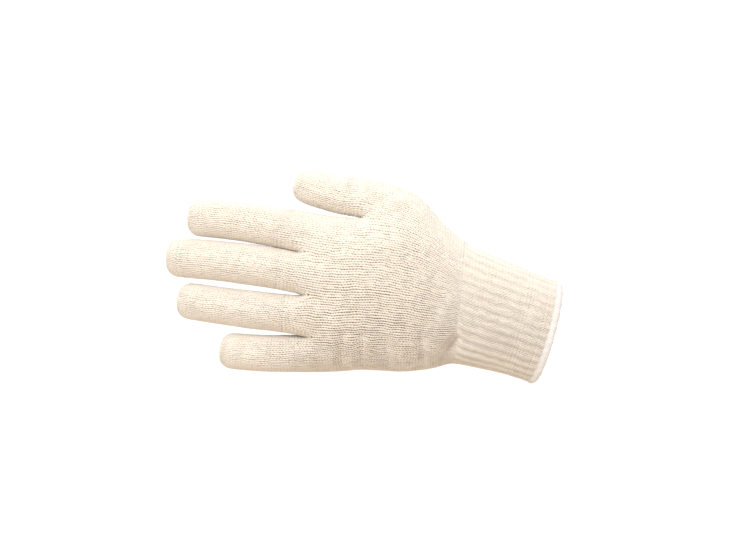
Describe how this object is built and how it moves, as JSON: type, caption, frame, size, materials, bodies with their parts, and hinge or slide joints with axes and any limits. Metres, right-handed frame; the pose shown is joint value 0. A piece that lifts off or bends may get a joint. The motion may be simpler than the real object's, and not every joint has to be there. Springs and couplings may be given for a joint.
{
  "type": "cotton underglove",
  "caption": "Seamless knitted cotton glove with a ribbed wrist and an overlocked hem, in the form that a left hand gives it.",
  "frame": {"origin": "centre of the wrist opening, at the outer end of the hem", "axes": "+X from the fingertips towards the wrist, +Y from the back of the hand to the palm, +Z towards the thumb"},
  "size_m": [0.242, 0.0502, 0.1307],
  "materials": {
    "jersey": "plain jersey of unbleached cotton yarn",
    "rib": "ribbed knit of the same yarn",
    "overlock": "overlock stitches of white thread"
  },
  "bodies": {
    "root": {"palm": "jersey", "little_finger": "jersey", "ring_finger": "jersey", "middle_finger": "jersey", "index_finger": "jersey", "thumb": "jersey", "rib_cuff": "rib", "cuff_hem": "overlock"}
  },
  "joints": []
}
